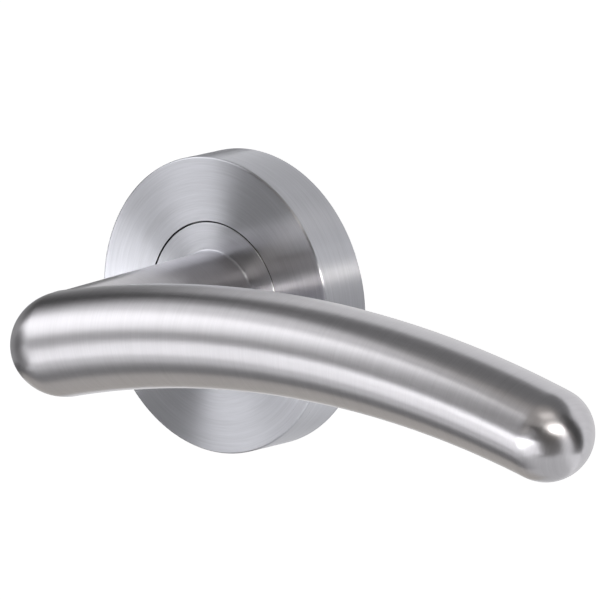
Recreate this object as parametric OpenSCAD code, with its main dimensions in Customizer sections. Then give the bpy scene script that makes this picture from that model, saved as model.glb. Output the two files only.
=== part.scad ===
// Door lever handle on a round, sprung, concealed-fix rose.
//
// The door's face is the plane Y = 0. The handle stands out of it along -Y,
// the lever points along +X and +Z is up. The spindle turns about the Y axis.
// Every piece is drawn in a working frame whose Z axis points out of the door,
// and out_of_door() turns it into the part's own frame.

/* [Rose] */
// Diameter of the rose cover
rose_d = 52; // [51:0.5:58]
// Thickness of the rose, from the door to its face
rose_t = 10; // [10:0.5:14]
// Wall of the pressed cover
cover_wall = 1.2; // [0.8:0.1:1.4]
// Bevel round the cover's face
cover_bevel = 0.35; // [0.2:0.05:0.6]
// Play between the cover and what it slides over
cover_gap = 0.15; // [0.1:0.05:0.25]
// Width of the lever-out notch in the cover's back edge
notch_w = 6; // [4:0.5:8]
// Height of that notch
notch_h = 1.2; // [0.8:0.1:2]
// Wire of the ring that holds the cover on
snap_wire_d = 1.2; // [1:0.1:1.4]

/* [Fixings] */
// How far in from the plate's rim a bolt-through lug's axis lies
lug_inset = 5.4; // [4.9:0.1:6]
// Diameter of a lug
lug_d = 7.2; // [6.6:0.1:7.4]
// How far the lugs stand into the door
lug_reach = 8; // [4:1:15]
// Core diameter of the lugs' M4 thread
lug_thread_core = 3.3; // [3.2:0.05:3.4]
// How far in from the plate's rim a wood screw's axis lies
screw_inset = 3.9; // [3.5:0.1:4.3]
// Diameter of a wood-screw hole
screw_hole_d = 4.2; // [4:0.1:4.4]

/* [Grip] */
// Distance of the grip's centre line from the door
grip_out = 50.2; // [46:0.2:65]
// Where the bar leaves its near dome, from the spindle's axis
grip_start = 2.4; // [1:0.2:4]
// Where the bar meets its far dome
grip_end = 109.3; // [90:0.1:130]
// Rise of the bar's middle above its ends
grip_bow = 6.8; // [3:0.2:12]
// Height of the bar at its near end
grip_near_h = 18.1; // [17.5:0.1:21]
// Depth of the bar at its near end
grip_near_w = 18.2; // [17.5:0.1:21]
// Height of the bar at its far end
grip_far_h = 16; // [14:0.1:19]
// Depth of the bar at its far end
grip_far_w = 16.4; // [14:0.1:19]
// Length of the near dome
near_dome = 10.2; // [9.5:0.1:12]
// Length of the far dome
far_dome = 7.8; // [6:0.1:10]
// Wall of the hollow bar and its domes
grip_wall = 1.6; // [1.2:0.1:2]

/* [Neck] */
// Diameter of the neck at the rose
neck_rose_d = 19.1; // [18:0.1:20]
// Diameter of the neck at the grip's centre line
neck_grip_d = 16.3; // [16.1:0.1:17]
// Rounding of the neck's outer end, where it is ground into the grip
neck_round = 3; // [1:0.5:5]
// Bore of the neck
neck_bore_d = 14; // [13.6:0.1:14.2]
// Diameter of the flange that fills the cover's hole
flange_d = 29.2; // [28.5:0.1:30]
// Thickness of the flange
flange_t = 1.3; // [1.2:0.05:1.4]
// Diameter of the grub screw
grub_d = 5; // [4:0.5:6]
// Bevel round the flange's face
flange_bevel = 0.2; // [0.1:0.05:0.4]
// Distance of the grub screw from the door
grub_out = 22; // [18:0.5:26]

/* [Spindle] */
// Across the flats of the square spindle
spindle_w = 8; // [7:0.5:8]
// Play of the spindle in its socket, each side
spindle_gap = 0.05; // [0.05:0.05:0.1]
// How far the spindle stands into the door
spindle_back = 22; // [20:1:45]
// How far the spindle reaches into the neck
spindle_front = 33; // [28:0.5:34]

/* [Mechanism] */
// Diameter of the hub that turns in the bush
hub_d = 16; // [15.8:0.1:16.2]
// Running play of the hub in its bush, each side
bush_gap = 0.05; // [0.03:0.01:0.08]
// Wall of the bush
bush_wall = 1.45; // [1.2:0.05:1.5]
// Thickness of the bush's flange
bush_flange_t = 0.8; // [0.6:0.05:0.9]
// Width of the bush's flange
bush_flange_w = 3.9; // [3:0.1:4.2]
// Thickness of the retaining ring
circlip_t = 0.8; // [0.6:0.05:0.9]
// Thickness of the driver plate
driver_t = 1.1; // [1:0.05:1.3]
// Wire of the return spring
spring_wire_d = 1.5; // [1.2:0.05:1.5]
// Room between the bush and the return spring
spring_room = 0.75; // [0.4:0.05:1]
// Diameter of the pin between the spring's legs
spring_pin_d = 2.2; // [1.8:0.1:2.4]
// How far the lever turns each way, in degrees
lever_turn = 45; // [30:1:46]

/* [Hidden] */
$fn = 96;

// Clearances that several pieces share
face_gap = 0.1;     // between faces that slide on each other
press_gap = 0.02;   // round a pressed-in piece
leg_gap = 0.15;     // between a spring leg and what it bears on
plate_gap = 0.4;    // between the plate's rim and the cover's wall
tiny = 0.01;        // overlap of cutting tools

// The grip: a bar bent to an arc that runs from grip_start to grip_end
bar_chord = grip_end - grip_start;
bar_r = (bar_chord * bar_chord / 4 + grip_bow * grip_bow) / (2 * grip_bow);
bar_half_angle = asin(bar_chord / 2 / bar_r);
bar_rings = 22;
dome_rings = 7;
grip_sides = 36;

// Levels, as distances out of the door, from the back to the front
ring_z = 0.2;
flat_washer_z = ring_z + circlip_t + 0.03;
flat_washer_t = 0.4;
washer_z = flat_washer_z + flat_washer_t + 0.03;
washer_t = 0.25;
washer_wave = 0.12;
driver_z = washer_z + washer_t + 2 * washer_wave + 0.03;
driver_top = driver_z + driver_t;
bush_z = driver_top + face_gap;
spring_z = driver_top + leg_gap;
spring_pitch = spring_wire_d + 0.05;
spring_top = spring_z + spring_pitch + spring_wire_d;
pocket_top = spring_top + leg_gap;
flange_z = rose_t - flange_t;
bush_top = flange_z - face_gap;
counterbore_z = bush_top - bush_flange_t;
plate_top = rose_t - cover_wall - face_gap;

// The rose, from the axis outwards
bush_r = hub_d / 2 + bush_gap + bush_wall;
bush_flange_r = bush_r + bush_flange_w;
wire_r = spring_wire_d / 2;
spring_r = bush_r + spring_room + wire_r;
pin_r = spring_pin_d / 2;
leg_offset = pin_r + wire_r + leg_gap;
tab_inner_r = spring_r + leg_offset - 0.1;
tab_t = 1.1;
tab_outer_r = tab_inner_r + tab_t;
pocket_r = tab_outer_r + 0.3;
pin_place_r = pocket_r + pin_r;
leg_end_r = pin_place_r + pin_r + 0.1;
leg_pocket_r = leg_end_r + 0.5;
leg_pocket_angle = lever_turn + asin((leg_offset + wire_r) / leg_end_r) + 3;
lobe_angle = 9;
lobe_pocket_angle = lever_turn + lobe_angle + 0.6;
cover_inner_r = rose_d / 2 - cover_wall;
plate_r = cover_inner_r - plate_gap;
lug_place_r = plate_r - lug_inset;
screw_place_r = plate_r - screw_inset;
snap_ring_r = cover_inner_r - 0.05 - snap_wire_d / 2;
snap_ring_z = 3.2;
rim_wall = plate_r - (snap_ring_r - snap_wire_d / 2) + 1;
relief_outer_r = plate_r - rim_wall;
relief_inner_r = leg_pocket_r + 1.5;
relief_angle = 30;
screw_angle = 45;
screw_count = 4;

// The blind ends inside the neck
plug_top = spindle_front + 1;
neck_bore_end = plug_top + 1;

// The hub's flats, which carry the driver plate
flat_w = hub_d - 2.8;
groove_r = hub_d / 2 - 0.4;

// Turns the working frame into the part's own frame
module out_of_door() {
    rotate([90, 0, 0]) children();
}

// The flat shape between two radii and two angles
module ring_sector(r_in, r_out, angle_from, angle_to) {
    reach = 2 * r_out;
    middle = (angle_from + angle_to) / 2;
    intersection() {
        difference() {
            circle(r = r_out);
            circle(r = r_in);
        }
        polygon([[0, 0],
                 reach * [cos(angle_from), sin(angle_from)],
                 reach * [cos(middle), sin(middle)],
                 reach * [cos(angle_to), sin(angle_to)]]);
    }
}

// Share of the way along the bar, 0 to 1, at a signed distance along its arc
function bar_share(angle) = (angle + bar_half_angle) / (2 * bar_half_angle);

// Centre of the bar at an angle on its arc
function bar_point(angle) = [
    (grip_start + grip_end) / 2 + bar_r * sin(angle),
    bar_r * (cos(angle) - cos(bar_half_angle))];

// One ring of points across the grip: centre, direction, half height, half depth
function grip_ring(centre, angle, half_h, half_w) = [
    for (i = [0:grip_sides - 1])
        let (turn = 360 * i / grip_sides,
             up = half_h * cos(turn))
        [centre[0] + up * sin(angle), centre[1] + up * cos(angle),
         grip_out + half_w * sin(turn)]];

// Half height and half depth of the bar, less an inset, at a share of its way
function bar_half_h(share, inset) =
    (grip_near_h + (grip_far_h - grip_near_h) * share) / 2 - inset;
function bar_half_w(share, inset) =
    (grip_near_w + (grip_far_w - grip_near_w) * share) / 2 - inset;

// The rings of the bar
function bar_surface(inset) = [
    for (i = [0:bar_rings])
        let (share = i / bar_rings,
             angle = bar_half_angle * (2 * share - 1))
        grip_ring(bar_point(angle), angle,
                  bar_half_h(share, inset), bar_half_w(share, inset))];

// The rings of a dome, from the bar's end towards the tip, without the tip
function dome_surface(far, inset) =
    let (angle = far ? bar_half_angle : -bar_half_angle,
         end = bar_point(angle),
         heading = far ? 1 : -1,
         length = (far ? far_dome : near_dome) - inset)
    [for (i = [0:dome_rings - 1])
        let (turn = 90 * i / dome_rings,
             step = heading * length * sin(turn))
        grip_ring(end + step * [cos(angle), -sin(angle)], angle,
                  bar_half_h(far ? 1 : 0, inset) * cos(turn),
                  bar_half_w(far ? 1 : 0, inset) * cos(turn))];

// The tip of a dome
function dome_tip(far, inset) =
    let (angle = far ? bar_half_angle : -bar_half_angle,
         end = bar_point(angle),
         heading = far ? 1 : -1,
         length = (far ? far_dome : near_dome) - inset)
    [end[0] + heading * length * cos(angle),
     end[1] - heading * length * sin(angle), grip_out];

// All points of a list of rings, one after another
function joined(rings) = [for (ring = rings) for (p = ring) p];

// Two triangles between neighbouring rings a and b, at side i of n
function band(a, b, n) = [
    for (i = [0:n - 1])
        let (j = (i + 1) % n)
        each [[a + i, b + i, b + j], [a + i, b + j, a + j]]];

// The bands between count rings of n points that start at point first
function bands(first, count, n) = [
    for (k = [0:count - 2])
        each band(first + k * n, first + (k + 1) * n, n)];

// The same faces, turned inside out
function flipped(faces) = [for (f = faces) [f[2], f[1], f[0]]];

// A fan of triangles from ring a to a tip
function fan(a, tip, n) = [for (i = [0:n - 1]) [a + i, tip, a + (i + 1) % n]];

// The hollow bar: outer skin, inner skin and the two flat ends
module bar_shell() {
    n = grip_sides;
    count = bar_rings + 1;
    inner = count * n;
    last = (count - 1) * n;
    polyhedron(
        concat(joined(bar_surface(0)), joined(bar_surface(grip_wall))),
        concat(bands(0, count, n), flipped(bands(inner, count, n)),
               band(inner, 0, n), band(last, inner + last, n)));
}

// A hollow dome that closes one end of the bar
module dome_shell(far) {
    n = grip_sides;
    outer = joined(dome_surface(far, 0));
    inner = joined(dome_surface(far, grip_wall));
    count = dome_rings;
    first = count * n;
    tips = 2 * count * n;
    faces = concat(
        bands(0, count, n), fan((count - 1) * n, tips, n),
        flipped(bands(first, count, n)),
        flipped(fan(first + (count - 1) * n, tips + 1, n)),
        band(first, 0, n));
    polyhedron(
        concat(outer, inner, [dome_tip(far, 0), dome_tip(far, grip_wall)]),
        far ? faces : flipped(faces));
}

// The near half of the grip's outer shape, solid, which the neck is coped to
module grip_near_form() {
    n = grip_sides;
    rings = dome_surface(false, 0);
    bar = [for (i = [1:8]) bar_surface(0)[i]];
    all_rings = concat([for (i = [dome_rings - 1:-1:0]) rings[i]], bar);
    count = len(all_rings);
    tip = count * n;
    end = [for (i = [0:n - 1]) (count - 1) * n + i];
    polyhedron(
        concat(joined(all_rings), [dome_tip(false, 0)]),
        concat(bands(0, count, n), flipped(fan(0, tip, n)), [end]));
}

// The tapered tube of the grip
module grip_bar() {
    color("silver") out_of_door() bar_shell();
}

// The dome over the neck
module near_end_cap() {
    color("silver") out_of_door() dome_shell(false);
}

// The dome at the lever's tip
module far_end_cap() {
    color("silver") out_of_door() dome_shell(true);
}

// Radius of the neck's outside at a distance out of the door
function neck_r(z) = (neck_rose_d + (neck_grip_d - neck_rose_d)
    * (z - rose_t) / (grip_out - rose_t)) / 2;

// The neck's outer shape: a taper with a rounded outer end
module neck_form() {
    round_z = grip_out - neck_round;
    round_r = neck_r(round_z);
    translate([0, 0, rose_t])
        cylinder(h = round_z - rose_t, r1 = neck_r(rose_t), r2 = round_r);
    translate([0, 0, round_z]) rotate_extrude() {
        square([round_r - neck_round, neck_round]);
        translate([round_r - neck_round, 0]) intersection() {
            circle(r = neck_round);
            square(neck_round);
        }
    }
}

// The tapered neck: bored for the hub, coped to the grip, drilled for the screw
module neck() {
    color("silver") out_of_door() difference() {
        neck_form();
        translate([0, 0, rose_t - tiny])
            cylinder(h = neck_bore_end - rose_t, d = neck_bore_d);
        grub_hole();
        grip_near_form();
    }
}

// The disc that fills the cover's hole and carries the neck
module neck_flange() {
    color("silver") out_of_door() difference() {
        union() {
            translate([0, 0, flange_z]) cylinder(h = flange_t - flange_bevel, d = flange_d);
            translate([0, 0, rose_t - flange_bevel - tiny])
                cylinder(h = flange_bevel + tiny, d1 = flange_d, d2 = flange_d - 2 * flange_bevel);
        }
        translate([0, 0, flange_z - tiny])
            cylinder(h = flange_t + 2 * tiny, d = hub_d + 2 * press_gap);
    }
}

// The tapped hole from the neck's underside to the spindle
module grub_hole() {
    translate([0, 0, grub_out]) rotate([90, 0, 0])
        cylinder(h = neck_rose_d, d = grub_d + 2 * press_gap);
}

// The turned hub: bearing journal, square socket, and plug inside the neck
module spindle_hub() {
    socket_w = spindle_w + 2 * spindle_gap;
    color("dimgray") out_of_door() difference() {
        union() {
            translate([0, 0, ring_z - 0.15])
                cylinder(h = rose_t - ring_z + 0.15, d = hub_d);
            translate([0, 0, rose_t - tiny])
                cylinder(h = plug_top - rose_t, d = neck_bore_d - 2 * press_gap);
        }
        translate([-socket_w / 2, -socket_w / 2, -tiny])
            cube([socket_w, socket_w, plug_top + 1]);
        for (side = [-1, 1])
            translate([side * (flat_w / 2 + hub_d / 2), 0, driver_top / 2])
                cube([hub_d, 2 * hub_d, driver_top + 2 * tiny], center = true);
        translate([0, 0, ring_z - 0.05]) difference() {
            cylinder(h = circlip_t + 0.1, d = hub_d + 1);
            translate([0, 0, -tiny])
                cylinder(h = circlip_t + 0.1 + 2 * tiny, r = groove_r);
        }
        grub_hole();
    }
}

// The socket-head set screw that grips the spindle
module grub_screw() {
    start = spindle_w / 2;
    length = neck_r(grub_out) - start - 0.4;
    hex_d = grub_d * 0.58;
    color("dimgray") out_of_door() translate([0, -start, grub_out]) rotate([90, 0, 0])
        difference() {
            union() {
                cylinder(h = 0.8, d1 = grub_d * 0.6, d2 = grub_d);
                translate([0, 0, 0.8]) cylinder(h = length - 0.8, d = grub_d);
            }
            translate([0, 0, length - grub_d / 2])
                cylinder(h = grub_d, d = hex_d, $fn = 6);
        }
}

// The square bar that turns the latch, with broken edges and pointed ends
module spindle() {
    length = spindle_back + spindle_front;
    corner_d = spindle_w * 1.34;
    lead = 1.5;
    color("gray") out_of_door() translate([0, 0, -spindle_back]) intersection() {
        translate([-spindle_w / 2, -spindle_w / 2, 0])
            cube([spindle_w, spindle_w, length]);
        rotate_extrude() polygon([
            [0, 0], [corner_d / 2 - lead, 0], [corner_d / 2, lead],
            [corner_d / 2, length - lead], [corner_d / 2 - lead, length], [0, length]]);
    }
}

// The pressed plate that turns with the hub: arm and bent tab for the spring,
// and a lobe that meets the ends of its slot
module driver_plate() {
    tab_w = spring_pin_d;
    arm_w = tab_w + 2;
    color("lightgray") out_of_door() {
        translate([0, 0, driver_z]) linear_extrude(driver_t) difference() {
            union() {
                circle(r = spring_r + wire_r + 0.3);
                translate([0, -arm_w / 2]) square([tab_outer_r, arm_w]);
                ring_sector(spring_r - 1, leg_pocket_r - 0.3,
                            180 - lobe_angle, 180 + lobe_angle);
            }
            intersection() {
                circle(d = hub_d + 2 * spindle_gap);
                square([flat_w + 2 * spindle_gap, 2 * hub_d], center = true);
            }
        }
        translate([tab_inner_r, -tab_w / 2, driver_top - tiny])
            cube([tab_t, tab_w, spring_top - driver_top + tiny]);
    }
}

// Height of the wave washer's underside at an angle
function wave(turn) = washer_wave * (1 + cos(3 * turn));

// The three-wave spring washer between the retaining ring and the driver plate
module wave_washer() {
    steps = 48;
    inner_r = hub_d / 2 + 0.3;
    outer_r = inner_r + 2.6;
    rings = [for (i = [0:steps - 1])
        let (turn = 360 * i / steps, z = washer_z + wave(turn))
        [for (corner = [[inner_r, 0], [outer_r, 0], [outer_r, washer_t], [inner_r, washer_t]])
            [corner[0] * cos(turn), corner[0] * sin(turn), z + corner[1]]]];
    faces = [for (i = [0:steps - 1]) each band(4 * i, 4 * ((i + 1) % steps), 4)];
    color("lightgray") out_of_door() polyhedron(joined(rings), flipped(faces));
}

// The flat washer that spreads the wave washer's load on the retaining ring
module flat_washer() {
    color("silver") out_of_door() translate([0, 0, flat_washer_z]) difference() {
        cylinder(h = flat_washer_t, r = hub_d / 2 + 3);
        translate([0, 0, -tiny])
            cylinder(h = flat_washer_t + 2 * tiny, r = hub_d / 2 + face_gap);
    }
}

// The retaining ring in the hub's groove, with two lugs for pliers
module retaining_ring() {
    body_r = hub_d / 2 + 1.9;
    lug_r = 1.7;
    lug_angle = 13;
    color("dimgray") out_of_door() translate([0, 0, ring_z]) linear_extrude(circlip_t)
        difference() {
            union() {
                translate([0, -0.5]) circle(r = body_r);
                for (side = [-1, 1])
                    rotate(90 + side * lug_angle) translate([body_r, 0]) circle(r = lug_r);
            }
            circle(r = groove_r + press_gap);
            ring_sector(groove_r / 2, 2 * body_r, 90 - lug_angle / 2, 90 + lug_angle / 2);
            for (side = [-1, 1])
                rotate(90 + side * lug_angle) translate([body_r + 0.1, 0]) circle(r = 0.7);
        }
}

// The flanged nylon bush that the hub turns in
module bearing_bush() {
    color("ivory") out_of_door() difference() {
        union() {
            translate([0, 0, bush_z]) cylinder(h = bush_top - bush_z, r = bush_r);
            translate([0, 0, counterbore_z])
                cylinder(h = bush_flange_t, r = bush_flange_r);
        }
        translate([0, 0, bush_z - tiny])
            cylinder(h = bush_top, r = hub_d / 2 + bush_gap);
    }
}

// The spring's centre line: a leg in to the coil, one turn, and a leg out
function spring_path() =
    let (bend_steps = 5, coil_steps = 40,
         z_low = spring_z + wire_r,
         z_high = z_low + spring_pitch,
         bend_x = spring_r + leg_offset)
    concat(
        [[leg_end_r, -leg_offset, z_low]],
        [for (i = [0:bend_steps - 1])
            let (a = 270 - 90 * i / bend_steps)
            [bend_x + leg_offset * cos(a), leg_offset * sin(a), z_low]],
        [for (i = [0:coil_steps])
            let (a = 360 * i / coil_steps)
            [spring_r * cos(a), spring_r * sin(a), z_low + spring_pitch * i / coil_steps]],
        [for (i = [1:bend_steps])
            let (a = 180 - 90 * i / bend_steps)
            [bend_x + leg_offset * cos(a), leg_offset * sin(a), z_high]],
        [[leg_end_r, leg_offset, z_high]]);

// Direction of a path at one of its points, level with the door
function level_heading(path, i) =
    let (a = path[max(i - 1, 0)], b = path[min(i + 1, len(path) - 1)],
         d = [b[0] - a[0], b[1] - a[1]])
    d / norm(d);

// The torsion spring that brings the lever back from either side
module return_spring() {
    sides = 10;
    path = spring_path();
    count = len(path);
    rings = [for (i = [0:count - 1])
        let (h = level_heading(path, i))
        [for (k = [0:sides - 1])
            let (a = 360 * k / sides, across = wire_r * cos(a))
            [path[i][0] - across * h[1], path[i][1] + across * h[0],
             path[i][2] + wire_r * sin(a)]]];
    first = [for (k = [0:sides - 1]) k];
    last = [for (k = [sides - 1:-1:0]) (count - 1) * sides + k];
    color("gray") out_of_door()
        polyhedron(joined(rings), concat(bands(0, count, sides), [first, last]));
}

// Depth of the blind hole that holds the spring pin
pin_seat = plate_top - pocket_top - 0.6;

// The steel pin that stands between the spring's legs
module spring_pin() {
    color("dimgray") out_of_door() translate([pin_place_r, 0, spring_z - 0.1])
        cylinder(h = pocket_top + pin_seat - spring_z + 0.1, r = pin_r);
}

// Places children at both lugs
module at_lugs() {
    for (side = [-1, 1])
        translate([0, side * lug_place_r, 0]) children();
}

// Diameter of the riveted end that holds a lug in the plate
rivet_d = lug_d * 0.6;

// The die-cast plate under the cover, open at the back for the mechanism
module mounting_plate() {
    color("lightgray") out_of_door() difference() {
        cylinder(h = plate_top, r = plate_r);
        translate([0, 0, -tiny]) linear_extrude(pocket_top + tiny) {
            circle(r = pocket_r);
            ring_sector(pocket_r / 2, leg_pocket_r, -leg_pocket_angle, leg_pocket_angle);
        }
        translate([0, 0, -tiny]) linear_extrude(bush_z + tiny)
            ring_sector(pocket_r / 2, leg_pocket_r,
                        180 - lobe_pocket_angle, 180 + lobe_pocket_angle);
        translate([0, 0, -tiny]) linear_extrude(pocket_top + tiny)
            for (middle = [0, 180])
                ring_sector(relief_inner_r, relief_outer_r,
                            middle - relief_angle, middle + relief_angle);
        translate([0, 0, -tiny])
            cylinder(h = rose_t, r = bush_r + press_gap);
        translate([0, 0, counterbore_z])
            cylinder(h = rose_t, r = bush_flange_r + face_gap);
        translate([0, 0, bush_top])
            cylinder(h = rose_t, r = flange_d / 2 + cover_gap);
        translate([pin_place_r, 0, pocket_top - tiny])
            cylinder(h = pin_seat + tiny, r = pin_r + press_gap);
        at_lugs() {
            translate([0, 0, -tiny])
                cylinder(h = pocket_top + tiny, d = lug_d + 2 * press_gap);
            cylinder(h = rose_t, d = rivet_d + 2 * press_gap);
        }
        for (i = [0:screw_count - 1])
            rotate(screw_angle + 360 * i / screw_count)
                translate([screw_place_r, 0, -tiny])
                    cylinder(h = rose_t, d = screw_hole_d);
        translate([0, 0, snap_ring_z]) rotate_extrude()
            translate([snap_ring_r, 0]) square([snap_wire_d + 0.4, snap_wire_d + 0.4], center = true);
    }
}

// The two lugs that take the bolts from the door's other side
module fixing_lugs() {
    thread_depth = lug_reach + pocket_top - 1.5;
    lead = 0.6;
    color("gray") out_of_door() at_lugs() difference() {
        union() {
            translate([0, 0, -lug_reach]) cylinder(h = lead, d1 = lug_d - 2 * lead, d2 = lug_d);
            translate([0, 0, lead - lug_reach])
                cylinder(h = lug_reach + pocket_top - lead, d = lug_d);
            translate([0, 0, pocket_top - tiny])
                cylinder(h = plate_top - pocket_top, d = rivet_d);
        }
        translate([0, 0, -lug_reach - tiny])
            cylinder(h = thread_depth, d = lug_thread_core);
    }
}

// The split wire ring in the plate's rim that the cover snaps over
module cover_snap_ring() {
    opening = 24;
    color("gray") out_of_door() translate([0, 0, snap_ring_z])
        rotate(opening / 2 - 90) rotate_extrude(angle = 360 - opening)
            translate([snap_ring_r, 0]) circle(d = snap_wire_d);
}

// The pressed cover of the rose
module rose_cover() {
    r = rose_d / 2;
    hole_r = flange_d / 2 + cover_gap;
    color("silver") out_of_door() difference() {
        rotate_extrude() polygon([
            [cover_inner_r, 0], [r, 0], [r, rose_t - cover_bevel],
            [r - cover_bevel, rose_t], [hole_r, rose_t],
            [hole_r, rose_t - cover_wall], [cover_inner_r, rose_t - cover_wall]]);
        translate([-notch_w / 2, -rose_d, -tiny]) cube([notch_w, rose_d, notch_h + tiny]);
    }
}

grip_bar();
near_end_cap();
far_end_cap();
neck();
neck_flange();
spindle_hub();
grub_screw();
spindle();
driver_plate();
wave_washer();
flat_washer();
retaining_ring();
bearing_bush();
return_spring();
spring_pin();
mounting_plate();
fixing_lugs();
cover_snap_ring();
rose_cover();
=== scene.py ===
"""Looks of a door lever handle on a round, sprung rose, dressed round its CAD frame.

Sizes in the classes are millimetres. The frame is the CAD's: the door's face is the
plane Y = 0, the handle stands out of it along -Y, the lever points along +X and +Z is
up. "Out" is the distance out of the door, so out = -Y.
"""

import logging
import math
from collections.abc import Callable
from dataclasses import dataclass
from enum import Enum
from functools import cache

import bmesh
import bpy
import numpy as np
from mathutils import Matrix, Vector


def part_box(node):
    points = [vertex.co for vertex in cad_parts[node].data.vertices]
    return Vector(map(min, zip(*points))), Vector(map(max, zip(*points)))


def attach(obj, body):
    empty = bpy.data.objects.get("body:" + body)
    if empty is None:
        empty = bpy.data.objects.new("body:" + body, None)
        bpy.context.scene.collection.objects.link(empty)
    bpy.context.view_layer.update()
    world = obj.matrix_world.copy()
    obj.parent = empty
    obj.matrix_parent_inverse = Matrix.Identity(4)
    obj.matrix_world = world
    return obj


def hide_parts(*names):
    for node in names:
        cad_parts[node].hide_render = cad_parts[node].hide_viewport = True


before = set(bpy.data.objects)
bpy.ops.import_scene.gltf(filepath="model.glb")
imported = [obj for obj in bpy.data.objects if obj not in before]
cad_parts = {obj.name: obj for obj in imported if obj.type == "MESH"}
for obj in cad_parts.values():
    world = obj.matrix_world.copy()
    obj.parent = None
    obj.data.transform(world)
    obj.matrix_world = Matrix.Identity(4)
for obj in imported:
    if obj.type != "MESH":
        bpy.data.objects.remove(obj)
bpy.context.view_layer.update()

LOG = logging.getLogger("door_lever")
SHADER = "Principled BSDF"
MM = 0.001

# Edges sharper than the first stay sharp; faces that bend less than the second are one face.
SMOOTH_ANGLE = math.radians(32)
FLAT_ANGLE = math.radians(0.5)

# In metres: points closer than this are one point.
SAME_POINT = 1e-7

# In millimetres: what keeps a wire off its groove, the rounding of an edge that looks sharp,
# and how far a cutting tool reaches past its cut.
CLEARANCE = 0.01
BROKEN_EDGE = 0.03
OVERCUT = 1.0

# The least that anything is divided by, and the middle of noise that runs from 0 to 1.
TINY = 1e-3
NOISE_MIDDLE = 0.5

Tree = bpy.types.NodeTree
Node = bpy.types.Node
Socket = bpy.types.NodeSocket
Piece = bpy.types.Object
Distance = Callable[[np.ndarray], np.ndarray]


# ---------------------------------------------------------------------------
# Arithmetic on node sockets
# ---------------------------------------------------------------------------

class Field:
    """A number that flows through a node tree; arithmetic on it adds Math nodes."""

    def __init__(self, tree: Tree, source: object) -> None:
        """Wraps a socket or a plain value.

        Args:
            tree: The tree that new nodes go into.
            source: An output socket, or a number or other value that an input can hold.
        """
        self.tree = tree
        self.source = source

    def feed(self, socket: Socket) -> None:
        """Sends this value into an input socket."""
        if isinstance(self.source, bpy.types.NodeSocket):
            self.tree.links.new(self.source, socket)
        else:
            socket.default_value = self.source

    def math(self, operation: str, *others: "Field | float") -> "Field":
        """Adds one Math node.

        Args:
            operation: The node's operation.
            others: The second and third operands, if it has them.

        Returns:
            The node's result.
        """
        node = add_node(self.tree, "ShaderNodeMath")
        node.operation = operation
        for socket, value in zip(node.inputs, (self, *others)):
            as_field(self.tree, value).feed(socket)
        return Field(self.tree, node.outputs[0])

    def __add__(self, other: "Field | float") -> "Field":
        """Sum."""
        return self.math("ADD", other)

    def __sub__(self, other: "Field | float") -> "Field":
        """Difference."""
        return self.math("SUBTRACT", other)

    def __mul__(self, other: "Field | float") -> "Field":
        """Product."""
        return self.math("MULTIPLY", other)

    def __truediv__(self, other: "Field | float") -> "Field":
        """Quotient."""
        return self.math("DIVIDE", other)

    __radd__ = __add__
    __rmul__ = __mul__

    def __rsub__(self, other: float) -> "Field":
        """Difference, from a plain number."""
        return as_field(self.tree, other).math("SUBTRACT", self)

    def sin(self) -> "Field":
        """Sine."""
        return self.math("SINE")

    def cos(self) -> "Field":
        """Cosine."""
        return self.math("COSINE")


def as_field(tree: Tree, value: object) -> Field:
    """The value as a Field of the tree."""
    return value if isinstance(value, Field) else Field(tree, value)


def feed(tree: Tree, node: "str | Node", **inputs: object) -> Node:
    """Sends fields, sockets or plain values into a node.

    Args:
        tree: The tree.
        node: The node, or the name of one that the tree has.
        inputs: What goes into each input, whose name has _ for each space.

    Returns:
        The node.
    """
    node = tree.nodes[node] if isinstance(node, str) else node
    for name, value in inputs.items():
        as_field(tree, value).feed(node.inputs[name.replace("_", " ")])
    return node


def add_node(tree: Tree, kind: str, **inputs: object) -> Node:
    """Adds a node and feeds its inputs."""
    return feed(tree, tree.nodes.new(kind), **inputs)


def split(tree: Tree, vector: Socket) -> tuple[Field, Field, Field]:
    """The three parts of a vector socket."""
    node = add_node(tree, "ShaderNodeSeparateXYZ", Vector=vector)
    return tuple(Field(tree, output) for output in node.outputs)


def joined(tree: Tree, x: "Field | float", y: "Field | float", z: "Field | float") -> Socket:
    """A vector socket made of three parts."""
    return add_node(tree, "ShaderNodeCombineXYZ", X=x, Y=y, Z=z).outputs[0]


def vector_math(tree: Tree, operation: str, *operands: Socket) -> Socket:
    """The vector result of one Vector Math node."""
    node = add_node(tree, "ShaderNodeVectorMath")
    node.operation = operation
    for operand, socket in zip(operands, node.inputs):
        tree.links.new(operand, socket)
    return node.outputs[0]


def vector_mix(tree: Tree, share: Field, a: Socket, b: Socket) -> Socket:
    """Vector a where share is 0, and b where it is 1."""
    node = add_node(tree, "ShaderNodeMix")
    node.data_type = "VECTOR"
    # Inputs 4 and 5 and output 1 are the ones for vectors.
    share.feed(node.inputs[0])
    tree.links.new(a, node.inputs[4])
    tree.links.new(b, node.inputs[5])
    return node.outputs[1]


def noise(tree: Tree, place: Socket, scale: float, detail: float = 2.0,
          roughness: float = 0.5) -> Field:
    """Noise from 0 to 1.

    Args:
        tree: The tree.
        place: The coordinates that it reads.
        scale: Its scale.
        detail: Number of finer layers.
        roughness: Strength of the finer layers.

    Returns:
        The noise.
    """
    node = add_node(tree, "ShaderNodeTexNoise", Vector=place, Scale=scale, Detail=detail,
                    Roughness=roughness)
    return Field(tree, node.outputs[0])


def emboss(tree: Tree, height: Field, strength: float, depth: float) -> None:
    """Raises a pattern on the surface of the tree's Principled shader.

    Args:
        tree: The tree.
        height: The pattern.
        strength: How much of it the light sees.
        depth: Its depth, in millimetres.
    """
    bump = add_node(tree, "ShaderNodeBump", Strength=strength, Distance=MM * depth,
                    Height=height)
    feed(tree, SHADER, Normal=bump.outputs[0])


def new_material(name: str) -> tuple[bpy.types.Material, Tree]:
    """A material with the usual shader, and its tree."""
    material = bpy.data.materials.new(name)
    material.use_nodes = True
    return material, material.node_tree


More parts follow.
